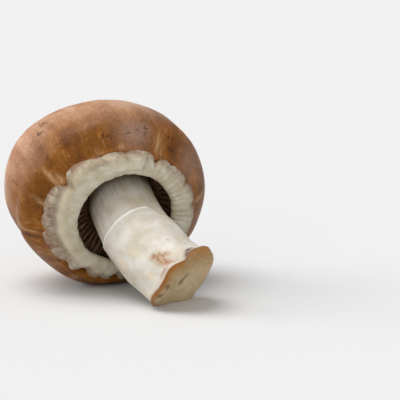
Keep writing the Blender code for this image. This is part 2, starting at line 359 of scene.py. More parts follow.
def makeFibreGroup():  # streaks that run along the piece: Place is (round, round, along) in mm
    tree, given, result = newGroup("fibres", {"Across": 1.0, "Along": 0.1, "Wander": 0.5}, "Streaks")
    scale = addNode(tree, "CombineXYZ", {"X": given["Across"], "Y": given["Across"], "Z": given["Along"]})
    sized = addNode(tree, "VectorMath", {0: given["Place"], 1: scale.outputs[0]}, operation="MULTIPLY")
    bend = addNode(tree, "TexNoise", {"Vector": given["Place"], "Scale": 0.35, "Detail": 1.0})
    bent = addNode(tree, "VectorMath", {0: bend.outputs["Color"], 1: (0.5, 0.5, 0.5)}, operation="SUBTRACT")
    sway = addNode(tree, "VectorMath", {0: bent.outputs[0], "Scale": given["Wander"]}, operation="SCALE")
    moved = addNode(tree, "VectorMath", {0: sized.outputs[0], 1: sway.outputs[0]}, operation="ADD")
    tree.links.new(noiseAt(tree, moved.outputs[0], 1.0, 3.0, 0.6), result)
    return tree


def makeFleckGroup():  # small separate flecks, some missing
    tree, given, result = newGroup("flecks", {"Scale": 1.0, "Size": 0.2, "Kept": 0.5}, "Flecks")
    bend = addNode(tree, "TexNoise", {"Vector": given["Place"], "Scale": 2.5, "Detail": 2.0})
    sway = addNode(tree, "VectorMath", {0: bend.outputs["Color"], "Scale": 0.5}, operation="SCALE")
    moved = addNode(tree, "VectorMath", {0: given["Place"], 1: sway.outputs[0]}, operation="ADD")
    cells = addNode(tree, "TexVoronoi", {"Vector": moved.outputs[0], "Scale": given["Scale"]})
    pick = addNode(tree, "SeparateColor", {0: cells.outputs["Color"]}).outputs[0]
    kept = calculate(tree, "LESS_THAN", pick, given["Kept"])
    inner = times(tree, given["Size"], 0.4)
    near = between(tree, cells.outputs["Distance"], given["Size"], inner)
    tree.links.new(times(tree, near, kept), result)
    return tree


fibreGroup = makeFibreGroup()
fleckGroup = makeFleckGroup()
print("shader groups made")


# Cap

capValues = {
    "radius": 26.0,
    "domeHeight": 24.6,
    "roundnessUp": 3.0,
    "roundnessOut": 2.2,
    "domeLean": Vector((-5.6, 1.9)),
    "oval": 0.02,
    "ovalAngle": 50,
    "swellings": ((3, 0.45, 34.4, 0.0, 8.0), (2, 0.3, -63.0, -1.0, 14.0)),  # lobes, size, phase, low, high
    "flatSide": {"depth": 0.55, "angle": 315, "width": 38, "heights": (-9.5, 1.0)},
    "shoulder": {
        "size": 1.65, "angle": 283, "before": 29, "after": 21, "low": (-15.0, -1.0), "high": (20.0, 2.0),
    },
    "marginDrop": 8.25,
    "marginRadius": 21.05,
    "marginCurl": 2.6,
    "marginLean": Vector((-1.2, 1.1)),
    "tipRadius": 1.6,
    "tipMiddle": Vector((19.3, -8.3)),
    "hollowRadius": 18.4,
    "hollowWallDrop": 5.6,
    "ceilingDrop": 3.1,
    "ceilingEdges": (10.5, 18.0),
    "seatRadius": 9.75,
    "seatDrop": 1.3,
    "seatOffset": Vector((0.3, -1.2)),
    "steps": 400,
    "domePoints": 400,
    "marginPoints": 60,
    "gap": 0.42,
    "dents": ((0.24, 8), (0.06, 3.2)),
    "fibreRelief": 0.025,
    "paleRise": 0.22,
    "darkDip": 0.2,
    "markGrowth": 1.7,
    "paintedSheenSides": ((184, 9.0, 28), (249, 4.5, 15)),  # painted sheen: the paler top reaches further down on the top and left, where the light falls: angle, mm, width
}

# Marks on the skin: angle, height over the widest circle, degrees wide, mm long, strength
# Their widths and lengths are then multiplied by markGrowth.
capMarks = {
    "dark": (
        (224, 9.9, 2.6, 1.3, 0.8), (229, 6.7, 1.8, 0.8, 0.9), (223, -2.8, 3, 0.35, 0.7),
        (233.6, -3.9, 0.8, 0.4, 0.8), (261, 3.7, 1.1, 1.4, 0.6), (283, -5.4, 1.3, 1.6, 0.9),
        (192.2, -6.8, 0.7, 0.6, 0.9), (194.6, -6.5, 0.9, 0.45, 1), (197.2, -6.2, 0.6, 0.7, 0.9),
        (150.8, -5.7, 1, 0.35, 0.9), (147.5, -5.4, 0.8, 0.5, 0.8), (142.5, -4.8, 1.2, 0.3, 0.9),
        (139, -3.9, 0.7, 0.5, 0.8), (145.3, -7.4, 3.4, 0.3, 1), (174, -6.2, 1, 0.7, 0.7),
        (181, -6.6, 1.2, 0.5, 0.8), (168.5, -5.5, 1.4, 1.1, 0.7), (312, 2, 1.4, 0.9, 0.6),
        (20, 6, 1.6, 0.8, 0.6), (64, 1.5, 1.2, 1.2, 0.7), (96, 9, 1.8, 0.7, 0.6),
        (118, 14, 2.2, 0.8, 0.6), (350, 12, 2, 1, 0.5),
    ),
    "bruise": (
        (176, -6.6, 7, 2.2, 0.95), (170, -5.6, 4, 1.4, 0.8), (126, -6.5, 7, 2.6, 0.6),
        (163, 2, 8, 4, 0.3), (305, -6.5, 8, 1.6, 0.45), (75, 3, 9, 4, 0.4),
    ),
    "deep": (
        (222, -3.5, 13, 2.6, 0.55), (212, -4.5, 9, 2, 0.3), (20, -2, 16, 3, 0.4),
        (95, -3, 14, 2.6, 0.35), (330, -1, 12, 3, 0.4),
    ),
    "pale": (
        (158.3, -7.6, 1, 2, 0.95), (154.6, -8.2, 0.7, 1.1, 0.7), (239, -7.2, 1.1, 2.2, 0.9),
        (236, -8.2, 1.6, 0.9, 0.9), (256.6, -7.4, 0.9, 1.3, 0.7), (279, -4.9, 0.7, 2.6, 0.7),
        (203, -8.7, 1.2, 0.8, 0.5), (186, -8.8, 1.6, 0.6, 0.6), (97.5, -7.2, 1.2, 1.4, 0.8),
        (330, -8, 1.5, 1.4, 0.6), (12, -8, 1.5, 1.5, 0.7), (64, -8, 1.4, 1.6, 0.6),
    ),
}


def capLean(height):
    if height > 0:
        return capValues["domeLean"] * (height / capValues["domeHeight"]) ** 1.5
    return capValues["marginLean"] * min(1.0, -height / capValues["marginDrop"])


def capOval(angle):
    return 1 + capValues["oval"] * math.cos(math.radians(2 * (angle - capValues["ovalAngle"])))


def marginRadius(drop):
    curl = (drop / capValues["marginDrop"]) ** capValues["marginCurl"]
    return capValues["radius"] - (capValues["radius"] - capValues["marginRadius"]) * curl


def capSwelling(angle, height):
    flat, shoulder = capValues["flatSide"], capValues["shoulder"]
    swelling = -flat["depth"] * swell(angle, flat["angle"], flat["width"]) * ease(*flat["heights"], height)
    reach = ease(*shoulder["low"], height) * ease(*shoulder["high"], height)
    width = shoulder["before"] if apart(angle, shoulder["angle"]) < 0 else shoulder["after"]
    swelling += shoulder["size"] * swell(angle, shoulder["angle"], width) * reach
    for lobes, size, phase, low, high in capValues["swellings"]:
        swelling += size * math.sin(math.radians(lobes * angle + phase)) * ease(low, high, height)
    return swelling


def capOutside():  # from the top of the dome down the outside and round the margin's tip
    line = []
    domePoints, marginPoints = capValues["domePoints"], capValues["marginPoints"]
    for index in range(domePoints + 1):
        turn = math.pi / 2 * (1 - index / domePoints)
        radius = capValues["radius"] * math.cos(turn) ** (2 / capValues["roundnessOut"])
        height = capValues["domeHeight"] * math.sin(turn) ** (2 / capValues["roundnessUp"])
        line.append(Vector((abs(radius), height)))
    for index in range(1, marginPoints + 1):
        drop = capValues["marginDrop"] * index / marginPoints
        line.append(Vector((marginRadius(drop), -drop)))
    for turn in range(15, 171, 5):
        across, along = onCircle(turn, capValues["tipRadius"])
        line.append(capValues["tipMiddle"] + Vector((along, -across)))
    return evenly(line, capValues["gap"])


def capInside():  # up the hollow's wall, across the ceiling and into the stem's seat
    wall = capValues["hollowRadius"]
    ceiling = -capValues["ceilingDrop"]
    seat = capValues["seatRadius"]
    floor = -capValues["seatDrop"]
    spots = [(wall, -capValues["hollowWallDrop"]), (wall - 0.3, ceiling - 0.8), (wall - 1.2, ceiling)]
    spots += [((wall + seat) / 2, ceiling), (seat, ceiling)]
    spots += [(seat, floor - 0.3), (seat - 0.5, floor), (0.0, floor)]
    return [Vector(spot) for spot in spots]


def heightRun(line, height):  # distance along the outside at a height
    distance = 0.0
    for first, second in zip(line, line[1:]):
        if second.y <= height:
            return distance
        distance += (second - first).length
    return distance


def placeCapPoint(spot, isOutside):
    radius = math.hypot(spot.x, spot.y)
    angle = angleOf(spot)
    lean = capLean(spot.z)
    onCeiling = not isOutside and spot.z >= -capValues["ceilingDrop"] - 0.01
    if onCeiling:
        inner, outer = capValues["ceilingEdges"]
        lean = capValues["seatOffset"].lerp(lean, ease(inner, outer, radius))
    else:
        radius *= capOval(angle)
    if isOutside:
        radius += capSwelling(angle, spot.z) * ease(0, 2, radius)
    return around(radius, angle, lean, spot.z)


def makeCapSkin():
    outside = capOutside()
    shape = spinLine(outside + capInside(), capValues["steps"])
    run = shape.verts.layers.float["run"]
    length = sum((b - a).length for a, b in zip(outside, outside[1:]))
    place = shape.verts.layers.float_vector.new("skinPlace")
    solid = shape.verts.layers.float_vector.new("skinSolid")
    names = (*capMarks, "inside", "fromTopWithSheen")
    layers = {name: shape.verts.layers.float.new(name) for name in names}
    growth = capValues["markGrowth"]
    runs = {
        name: [
            (angle, heightRun(outside, height), width * growth, long * growth, strength)
            for angle, height, width, long, strength in marks
        ]
        for name, marks in capMarks.items()
    }
    angles = {}
    near = {}
    for point in shape.verts:
        isOutside = point[run] <= length + 0.01
        angle = angleOf(point.co)
        angles[point] = angle
        point[place] = Vector((*onCircle(angle, capValues["radius"]), point[run]))
        point[layers["inside"]] = 0.0 if isOutside else 1.0
        # the run from the top, shortened where painted sheen reaches further down
        point[layers["fromTopWithSheen"]] = point[run] - swells(angle, capValues["paintedSheenSides"])
        paintMarks(point, layers, runs, near, angle, point[run], isOutside)
        point.co = placeCapPoint(point.co, isOutside)
        point[solid] = point.co
    shape.normal_update()
    for point in shape.verts:
        if point[layers["inside"]] > 0.5:
            continue
        relief = dented(point.co, capValues["dents"])
        relief += capValues["fibreRelief"] * streakNoise(angles[point], 20, point[run], 0.17)
        relief += capValues["paleRise"] * point[layers["pale"]]
        relief -= capValues["darkDip"] * point[layers["dark"]]
        relief *= ease(0.0, 3.0, point[run]) * 0.5 + 0.5
        point.co += point.normal * relief
    return finishPiece("capSkin", shape, makeSkinMaterial(), "cap")


def makeSkinMaterial():
    material, tree, shader = newMaterial(
        "mushroomSkin", Specular_IOR_Level=0.16,
        Sheen_Weight=0.05, Sheen_Roughness=0.35, Sheen_Tint=paint(255, 222, 196),
    )
    place = attribute(tree, "skinPlace", "Vector")
    solid = attribute(tree, "skinSolid", "Vector")
    along = addNode(tree, "SeparateXYZ", {0: place}).outputs["Z"]
    streaked = between(tree, along, 9.0, 27.0)
    mottle = noiseAt(tree, solid, 0.13, 5.0, 0.62)
    grain = noiseAt(tree, solid, 1.5, 3.0, 0.7)
    blotch = noiseAt(tree, solid, 0.3, 4.0, 0.6)
    broad = fibresAt(tree, place, 0.22, 0.06, 0.6)
    broad = faded(tree, streaked, blotch, broad)
    fine = fibresAt(tree, place, 2.2, 0.34, 1.4)
    fine = faded(tree, streaked, grain, fine)
    tone = timesPlus(tree, broad, 0.3, times(tree, fine, 0.13))
    tone = timesPlus(tree, mottle, 0.37, tone)
    tone = timesPlus(tree, grain, 0.2, tone)
    # the upper tone is the cap's paler top with painted sheen in it
    upperToneWithSheen = ramp(tree, tone, [
        (0.38, 146, 100, 68), (0.46, 173, 128, 96), (0.53, 191, 150, 121), (0.63, 212, 178, 154),
    ])
    lower = ramp(tree, tone, [
        (0.38, 84, 44, 6), (0.46, 110, 62, 8), (0.54, 133, 79, 16), (0.64, 162, 106, 42),
    ])
    fromTopWithSheen = calculate(tree, "SUBTRACT", attribute(tree, "fromTopWithSheen"), 8.0)
    wander = timesPlus(tree, mottle, 16.0, fromTopWithSheen)
    colour = mixed(tree, between(tree, wander, 25.5, 42.0), upperToneWithSheen, lower)
    flecks = useGroup(tree, fleckGroup, {"Place": solid, "Scale": 0.9, "Size": 0.2, "Kept": 0.22})
    specks = useGroup(tree, fleckGroup, {"Place": solid, "Scale": 1.7, "Size": 0.22, "Kept": 0.16})
    hairy = times(tree, between(tree, fine, 0.56, 0.7, 0.0, 0.35), between(tree, broad, 0.45, 0.62))
    deep = times(tree, attribute(tree, "deep"), between(tree, mottle, 0.35, 0.6, 1.0, 0.6))
    bruise = times(tree, attribute(tree, "bruise"), between(tree, grain, 0.35, 0.6, 0.65, 1.0))
    crumbs = noiseAt(tree, solid, 1.3, 3.0, 0.6)
    marked = attribute(tree, "dark")
    broken = timesPlus(tree, crumbs, 2.8, calculate(tree, "SUBTRACT", marked, 1.7))
    dark = times(tree, between(tree, broken, 0.08, 0.66, 0.0, 0.8), between(tree, marked, 0.05, 0.4))
    pale = times(tree, attribute(tree, "pale"), between(tree, fine, 0.4, 0.6, 0.35, 0.9))
    colour = coats(tree, colour, [
        (times(tree, flecks, 0.4), 78, 44, 26),
        (times(tree, specks, 0.3), 204, 160, 112),
        (hairy, 206, 166, 128),
        (deep, 92, 50, 8),
        (bruise, 158, 128, 112),
        (dark, 72, 38, 18),
        (pale, 196, 156, 112),
        ("inside", 96, 68, 46),
    ])
    tree.links.new(colour, shader.inputs["Base Color"])
    tree.links.new(between(tree, tone, 0.4, 0.6, 0.46, 0.36), shader.inputs["Roughness"])
    height = timesPlus(tree, grain, 0.7, fine)
    height = timesPlus(tree, flecks, -0.5, height)
    addBump(tree, shader, height, 0.35, 0.12)
    return material


makeCapSkin()


# Gills

gillValues = {
    "count": 190,
    "innerRadius": 10.5,
    "outerRadius": 17.9,
    "offset": Vector((0.4, -0.4)),
    "plate": 0.8,
    "depth": 2.6,
    "gap": 0.3,
    "rimDip": 0.9,
    "rimInset": 0.45,
    "thickness": 0.2,
    "segments": 10,
}


def placeGillPoint(radius, angle, below):  # below is the distance under the plate's upper side
    values = gillValues
    share = (radius - values["innerRadius"]) / (values["outerRadius"] - values["innerRadius"])
    atRim = ease(0.82, 1.0, share)
    drop = capValues["ceilingDrop"] + values["gap"] + values["rimDip"] * atRim + below
    inner, outer = capValues["ceilingEdges"]
    outward = ease(inner, outer, radius)
    shift = values["offset"].lerp(capLean(-drop), outward)
    radius = radius * (1 + (capOval(angle) - 1) * outward) - values["rimInset"] * atRim
    return around(radius, angle, shift, -drop)


def gillPlate():  # the thin ring that the gills hang from
    inner, outer, plate = gillValues["innerRadius"], gillValues["outerRadius"], gillValues["plate"]
    line = [Vector((inner, 0)), Vector(((inner + outer) / 2, 0)), Vector((outer, 0))]
    line += [Vector((outer, -plate)), Vector(((inner + outer) / 2, -plate)), Vector((inner, -plate))]
    return spinLine(line, gillValues["count"], True)


def addGillBlade(shape, angle, start, depth):  # one thin blade, drawn as a strip and given its thickness
    inner, outer = gillValues["innerRadius"], gillValues["outerRadius"]
    half = math.degrees(gillValues["thickness"] / 2 / 14)
    sides = []
    for side in (-1, 1):
        rows = []
        for index in range(gillValues["segments"] + 1):
            share = start + (1 - start) * index / gillValues["segments"]
            radius = inner + (outer - inner) * share
            hang = depth * max(0.0, math.sin(math.pi * (0.04 + 0.9 * (share - start) / (1 - start)))) ** 0.6
            sway = 0.5 * noise.noise(Vector((radius * 0.5, angle * 0.21, 3.1)))
            top = Vector((radius, angle + sway * 0.3 + side * half * 1.3, gillValues["plate"] - 0.1))
            low = Vector((radius, angle + sway + side * half * 0.6, gillValues["plate"] + hang))
            rows.append([shape.verts.new(placeGillPoint(*spot)) for spot in (top, low)])
        sides.append(rows)
    left, right = sides
    for index in range(gillValues["segments"]):
        for rows, order in ((left, 1), (right, -1)):
            corners = [rows[index][0], rows[index][1], rows[index + 1][1], rows[index + 1][0]]
            shape.faces.new(corners[::order])
        shape.faces.new([left[index][1], right[index][1], right[index + 1][1], left[index + 1][1]])
        shape.faces.new([left[index][0], left[index + 1][0], right[index + 1][0], right[index][0]])
    for index in (0, gillValues["segments"]):
        shape.faces.new([left[index][0], right[index][0], right[index][1], left[index][1]])


def makeGills():
    shape = gillPlate()
    for point in shape.verts:
        point.co = placeGillPoint(math.hypot(point.co.x, point.co.y), angleOf(point.co), -point.co.z)
    starts = (0.0, 0.5, 0.22, 0.7)
    for index in range(gillValues["count"]):
        start = starts[index % len(starts)]
        depth = gillValues["depth"] * (1 - 0.35 * start) * (1 + 0.08 * math.sin(index * 2.3))
        addGillBlade(shape, 360 * index / gillValues["count"], start, depth)
    bmesh.ops.recalc_face_normals(shape, faces=shape.faces)
    return finishPiece("gillBlades", shape, makeGillMaterial(), "gills")


def makeGillMaterial():
    material, tree, shader = newMaterial("gillFlesh", Roughness=0.75, Specular_IOR_Level=0.3)
    place = addNode(tree, "TexCoord").outputs["Object"]
    mottle = noiseAt(tree, place, 380.0, 3.0)
    colour = ramp(tree, mottle, [(0.3, 82, 56, 36), (0.55, 112, 80, 54), (0.75, 142, 108, 78)])
    tree.links.new(colour, shader.inputs["Base Color"])
    addBump(tree, shader, mottle, 0.3, 0.05)
    return material


makeGills()


# Veil

veilValues = {
    "thickness": 0.75,
    "edgeThickness": 0.14,
    "belly": (
        (13.25, 9.75), (13.1, 10.6), (13.7, 11.45), (15.2, 11.75),
        (17.2, 11.55), (19.3, 11.1), (21.1, 10.2),
    ),
    "mouthLean": Vector((-0.6, 0.4)),
    "gap": 0.3,
    "reach": -1.3,
    "reachOval": 1.3,
    "reachOvalAngle": 75,
    "reachLean": 0.6,
    "reachLeanAngle": 200,
    "mouthWave": 0.35,
    "tears": (  # angle, depth, width
        (12, 0.8, 3.5), (38, 0.9, 3), (64, 1.1, 4), (97.9, 1.6, 3.2), (120.5, 1.3, 3), (143, 0.7, 2.6),
        (157.5, 2.3, 2.6), (184.5, 0.5, 2.4), (203, 0.6, 3.4), (235.2, 2.6, 3.4), (262, 0.4, 2.4),
        (274.5, 1.1, 2.2), (291, 0.7, 3.0), (309, 1.5, 6), (328, 1.8, 6), (345, 0.5, 2), (359, 1.5, 3.4),
    ),
    "higher": ((172, 0.8, 11), (222, 0.4, 9), (250, 0.3, 8)),  # where the border climbs: angle, mm, width
    "ragged": 0.22,
    "paleFrill": ((163, 0.45, 13),),  # where the frill is less dusky: angle, share, width
    "steps": 540,
    "outerPoints": 58,
    "innerPoints": 14,
    "flutes": {
        "from": 84, "to": 158, "fadeIn": (70, 90), "fadeOut": (158, 146), "count": 12, "size": 0.17,
    },
    "ridge": {
        "start": 172.0, "fadeIn": (172, 175), "fadeOut": (338, 288), "size": 0.7, "width": 1.25,
        "radius": 18.0, "outward": ((212, 1.9, 24),), "inward": 2.2, "inwardFrom": (238, 320),
    },
    "dents": ((0.2, 4.2), (0.05, 1.5)),
    "valley": 0.62,
    "mostSettled": 1.25,
    "tornStep": 0.8,
    "tornFrom": (14.6, 15.8),  # radii between which the torn layer lies
    "tornTo": (20.4, 19.2),
    "pathStep": 0.1,
}


def veilLine():  # the veil's outer side in section, from its mouth to high up the cap's side
    proud = veilValues["gap"] + veilValues["thickness"] + 0.05
    line = [Vector(spot) for spot in veilValues["belly"]]
    belly = len(line)
    drop = capValues["marginDrop"]
    while drop > 2.5:
        here = Vector((marginRadius(drop), drop))
        along = (Vector((marginRadius(drop - 0.1), drop - 0.1)) - here).normalized()
        line.append(here + Vector((-along.y, along.x)) * proud)
        drop -= 0.75
    curlStart = sum((b - a).length for a, b in zip(line[:belly], line[1:]))
    return evenly(rounded(line, 3), veilValues["pathStep"]), curlStart


veilPath, veilCurlStart = veilLine()
capLine = [Vector((spot.x, -spot.y)) for spot in capOutside() if spot.y < 2]
veilClear = [max(0.0, min((spot - corner).length for corner in capLine) - 0.2) for spot in veilPath]


def alongVeil(distance):  # point and outward normal at a distance from the mouth
    place = min(max(distance / veilValues["pathStep"], 0.0), len(veilPath) - 2.001)
    index = int(place)
    low, high = max(0, index - 3), min(len(veilPath) - 1, index + 4)
    along = (veilPath[high] - veilPath[low]).normalized()
    return veilPath[index].lerp(veilPath[index + 1], place - index), Vector((-along.y, along.x))


def veilReach(angle):
    values = veilValues
    reach = values["reach"]
    reach += values["reachOval"] * math.cos(math.radians(2 * (angle - values["reachOvalAngle"])))
    reach += values["reachLean"] * math.cos(math.radians(angle - values["reachLeanAngle"]))
    reach += swells(angle, values["higher"]) - swells(angle, values["tears"])
    return reach + values["ragged"] * (ringNoise(angle, 5, 1.7) + 0.5 * ringNoise(angle, 21, 5.2))


def ridgeRadius(angle):  # the ridge of the torn upper layer winds inwards round the left side
    ridge = veilValues["ridge"]
    radius = ridge["radius"] + swells(angle, ridge["outward"])
    return radius - ridge["inward"] * ease(*ridge["inwardFrom"], angle)


def veilRelief(angle, share, radius, spot):
    flutes, ridge = veilValues["flutes"], veilValues["ridge"]
    across = ease(0.04, 0.25, share) * ease(0.96, 0.72, share)
    inFlutes = ease(*flutes["fadeIn"], angle) * ease(*flutes["fadeOut"], angle)
    turn = (angle - flutes["from"]) / (flutes["to"] - flutes["from"]) * flutes["count"]
    fluteWave = math.sin(math.tau * turn + 2.4 * noise.noise(Vector((angle * 0.09, share * 2, 2.0))))
    strong = 0.65 + 0.7 * noise.noise(Vector((angle * 0.12, 0.3, 6.1)))
    relief = (flutes["size"] * inFlutes * strong + 0.015) * across * fluteWave
    onRidge = ease(*ridge["fadeIn"], angle) * ease(*ridge["fadeOut"], angle)
    fromRidge = radius - ridgeRadius(angle)
    height = bell(fromRidge / ridge["width"]) * onRidge
    relief += ridge["size"] * height
    tornEdge = ridge["start"] - (radius - 17) * 1.2 + 0.8 * noise.noise(Vector((radius * 0.9, 0, 7)))
    layer = ease(tornEdge - 2.6, tornEdge + 0.3, angle) * ease(tornEdge + 42, tornEdge + 2, angle)
    layer *= ease(*veilValues["tornFrom"], radius) * ease(*veilValues["tornTo"], radius)
    relief += veilValues["tornStep"] * layer
    beyond = ease(0.5, 2.1, fromRidge) * onRidge
    # painted shade in the valley outside the ridge, and a painted shadow beside the torn end
    valley = bell((fromRidge - 1.7) / 0.6) * onRidge
    shadowBesideTear = 0.6 * swell(angle, tornEdge - 4.0, 2.6)
    valley = max(valley, shadowBesideTear * ease(14.2, 15.4, radius) * ease(20.6, 19.4, radius))
    creased = ringNoise(angle, 34, share * 1.4) * ease(0.6, 0.85, share)
    relief += (0.05 + 0.09 * beyond) * creased * (1 - 0.5 * inFlutes)
    relief += dented(spot, veilValues["dents"])
    return relief, height, layer, beyond, valley


def makeVeil():
    values = veilValues
    outer, inner = values["outerPoints"], values["innerPoints"]
    band = [Vector((10 + index / outer, 1.0)) for index in range(outer + 1)]
    band += [Vector((11 - index / inner, 0.0)) for index in range(inner + 1)]
    shape = spinLine(band, values["steps"], True)
    wide = shape.verts.layers.float["wide"]
    place = shape.verts.layers.float_vector.new("veilPlace")
    names = ("frill", "ridge", "layer", "valley", "inner", "border")
    layers = {name: shape.verts.layers.float.new(name) for name in names}
    reaches = {}
    for point in shape.verts:
        share = point[wide] - 10
        isOuter = point.co.z > 0.5
        angle = angleOf(point.co)
        column = round(angle, 2)
        if column not in reaches:
            reaches[column] = veilReach(angle)
        distance = share * (veilCurlStart + reaches[column])
        spot, normal = alongVeil(distance)
        shift = values["mouthLean"].lerp(capValues["marginLean"], ease(14, 21, spot.x))
        radius = spot.x
        flat = around(radius, angle, shift, -spot.y)
        relief, ridge, layer, beyond, valley = veilRelief(angle, share, radius, flat)
        thin = max(ease(0.6, 1.0, share), 0.8 * beyond)
        clear = veilClear[min(len(veilClear) - 1, int(distance / values["pathStep"]))]
        clear = min(values["mostSettled"], clear)
        settle = max(ease(0.66, 1.0, share) * clear, min(clear, values["valley"] * beyond))
        thickness = values["thickness"] + (values["edgeThickness"] - values["thickness"]) * thin
        spot = spot - normal * settle
        if isOuter:
            spot = spot + normal * max(relief, -0.3)
        else:
            spot = spot + normal * (min(relief, 0.0) * 0.5 - thickness)
        wave = values["mouthWave"] * ringNoise(angle, 2.5, 4.2) + 0.22 * ringNoise(angle, 9, 0.4)
        radius = (spot.x + wave * (1 - share)) * capOval(angle)
        radius += capSwelling(angle, -spot.y) * ease(17, 20, spot.x)
        point[place] = Vector((*onCircle(angle, 17.0), distance))
        frill = max(ease(0.62, 0.85, share) * 0.75, beyond)
        setLayers(point, layers, {
            "frill": frill * (1 - swells(angle, values["paleFrill"])),
            "ridge": ridge,
            "layer": layer,
            "valley": valley if isOuter else 0.0,
            "inner": 0.0 if isOuter else 1.0,
            "border": ease(0.86, 1.0, share),
        })
        point.co = around(radius, angle, shift, -spot.y)
    return finishPiece("tornVeil", shape, makeVeilMaterial(), "veil")


def makeVeilMaterial():
    material, tree, shader = newMaterial("veilFlesh", Roughness=0.6, Specular_IOR_Level=0.35)
    place = attribute(tree, "veilPlace", "Vector")
    broad = noiseAt(tree, place, 0.3, 4.0, 0.6)
    fine = fibresAt(tree, place, 3.0, 0.5, 1.0)
    cracked = fibresAt(tree, place, 0.8, 0.4, 1.8)
    colour = ramp(tree, broad, [(0.3, 178, 166, 138), (0.5, 194, 185, 162), (0.7, 208, 203, 188)])
    ridge = times(tree, attribute(tree, "ridge"), between(tree, broad, 0.35, 0.6, 0.25, 0.75))
    frill = attribute(tree, "frill")
    dusk = times(tree, frill, between(tree, broad, 0.34, 0.64, 0.95, 0.5))
    creases = times(tree, frill, between(tree, cracked, 0.49, 0.36, 0.0, 0.6))
    pale = times(tree, frill, between(tree, fine, 0.52, 0.66, 0.0, 0.4))
    thin = times(tree, attribute(tree, "border"), between(tree, broad, 0.62, 0.42, 0.0, 0.6))
    colour = coats(tree, colour, [
        (ridge, 198, 185, 152),
        # the raised torn layer is lighter: its own paler cream with painted highlight
        (times(tree, attribute(tree, "layer"), 0.55), 216, 209, 188),
        (dusk, 134, 106, 82),
        (creases, 108, 78, 58),
        (pale, 186, 172, 154),
        # painted shade in the valley outside the ridge and beside the torn end
        (times(tree, attribute(tree, "valley"), 0.45), 134, 118, 98),
        (thin, 126, 86, 52),
        ("inner", 158, 134, 106),
    ])
    tree.links.new(colour, shader.inputs["Base Color"])
    addBump(tree, shader, calculate(tree, "ADD", fine, cracked), 0.3, 0.1)
    return material


makeVeil()


# Stem

stemValues = {
    "root": Vector((0.3, -1.8, 1.6)),
    "bend": Vector((0.0, 5.4, 20.5)),
    "end": Vector((8.1, 5.6, 33.5)),
    "cutFacing": Vector((0.36, 0.30, 0.88)),
    "radii": (
        (0.0, 8.9), (0.18, 9.0), (0.31, 9.25), (0.36, 9.5),
        (0.6, 9.6), (0.8, 9.4), (0.92, 9.7), (1.0, 10.3),
    ),
    "oval": 0.08,
    "ovalAngle": -10,
    "lip": {"size": 0.7, "angle": 166, "width": 22.9},
    "waist": {"size": 1.5, "angle": 156, "width": 26, "from": (0.58, 0.86), "to": (1.0, 0.88)},
    "rimShape": (  # how the cut end spreads: angle, mm, width, share where it starts
        (44, 1.6, 24, 0.76), (9, 1.4, 14, 0.78), (112, -0.3, 16, 0.86), (142, -1.2, 25, 0.84),
        (189, 1.2, 11, 0.84), (206, -0.6, 8, 0.9), (286, 1.1, 20, 0.88), (318, -0.6, 5, 0.95),
    ),
    "rimPush": ((13, 1.6, 17), (199, 0.6, 6), (224, -0.5, 12), (258, 0.35, 14)),  # out along the stem
    "rimRoll": 0.32,
    "rimRolls": ((285, 0.45, 24), (90, -0.12, 50)),  # where the brown edge is wider or narrower
    "band": 0.16,
    "bands": ((238, 1.1, 44), (165, 0.45, 22)),  # where the cut is stained inside its edge
    "bandWidth": 3.6,
    "unevenness": 0.25,
    "dish": 0.5,
    "steps": 300,
    "rings": 110,
    "faceRings": 34,
    "length": 34.0,
    "ledge": {"share": 0.37, "dip": 0.13, "before": (178, 160), "after": (70, 140), "wave": 0.006},
    "ledgeSize": 0.16,
    "ledgeWidth": 0.009,
    "grooveDepth": 0.14,
    "grooveWidth": 0.012,
    "ledgeFades": ((172, 150), (60, 90)),
    "faceDents": ((0.36, 3.0), (0.12, 0.9)),
    "crack": Vector((0.6, 1.8)),  # places on the cut face, in mm from its middle
    "folds": Vector((-6.6, 2.1)),
    "whiteSpot": Vector((-7.9, 4.9)),
}

stemMarks = {  # angle, share of the length, degrees wide, share long, strength
    "stain": (
        (225, 0.8, 6.5, 0.022, 1), (218.5, 0.825, 7.5, 0.022, 1), (212, 0.855, 7.5, 0.02, 1),
        (208, 0.876, 5, 0.014, 0.8), (222, 0.85, 7.5, 0.034, 1), (221, 0.885, 8.5, 0.034, 1),
        (219.5, 0.915, 8.5, 0.03, 1), (217, 0.94, 8, 0.024, 1), (213, 0.96, 8, 0.016, 0.8),
        (232, 0.96, 13, 0.018, 0.7),
    ),
    "bruise": (
        (189.5, 0.968, 5.2, 0.026, 1), (194.5, 0.982, 4.2, 0.022, 1), (183.5, 0.962, 3, 0.014, 0.9),
        (189.7, 0.773, 0.9, 0.006, 0.8), (96, 0.7, 1.6, 0.01, 0.7), (330, 0.62, 1.8, 0.012, 0.6),
        (30, 0.8, 2, 0.012, 0.6),
    ),
    "tint": (
        (252, 0.88, 5, 0.05, 0.6), (275, 0.6, 9, 0.05, 0.5), (240, 0.66, 7, 0.06, 0.35),
        (300, 0.9, 9, 0.08, 0.5), (60, 0.85, 12, 0.09, 0.5), (120, 0.55, 9, 0.06, 0.4),
        (160, 0.8, 6, 0.04, 0.4), (20, 0.5, 10, 0.05, 0.4),
    ),
}


def ledgeShare(angle):  # the ring where the veil tore off dips towards the cut at the right
    ledge = stemValues["ledge"]
    dip = ledge["dip"] * ease(*ledge["before"], angle) * ease(*ledge["after"], angle)
    return ledge["share"] + dip + ledge["wave"] * ringNoise(angle, 3, 8.8)


def ledgeKept(angle, lost):  # the ring is fainter at the right
    before, after = stemValues["ledgeFades"]
    return 1 - lost * ease(*before, angle) * ease(*after, angle)


def stemRadius(share):
    radii = stemValues["radii"]
    for (start, low), (end, high) in zip(radii, radii[1:]):
        if share <= end:
            return low + (high - low) * (share - start) / (end - start)
    return radii[-1][1]


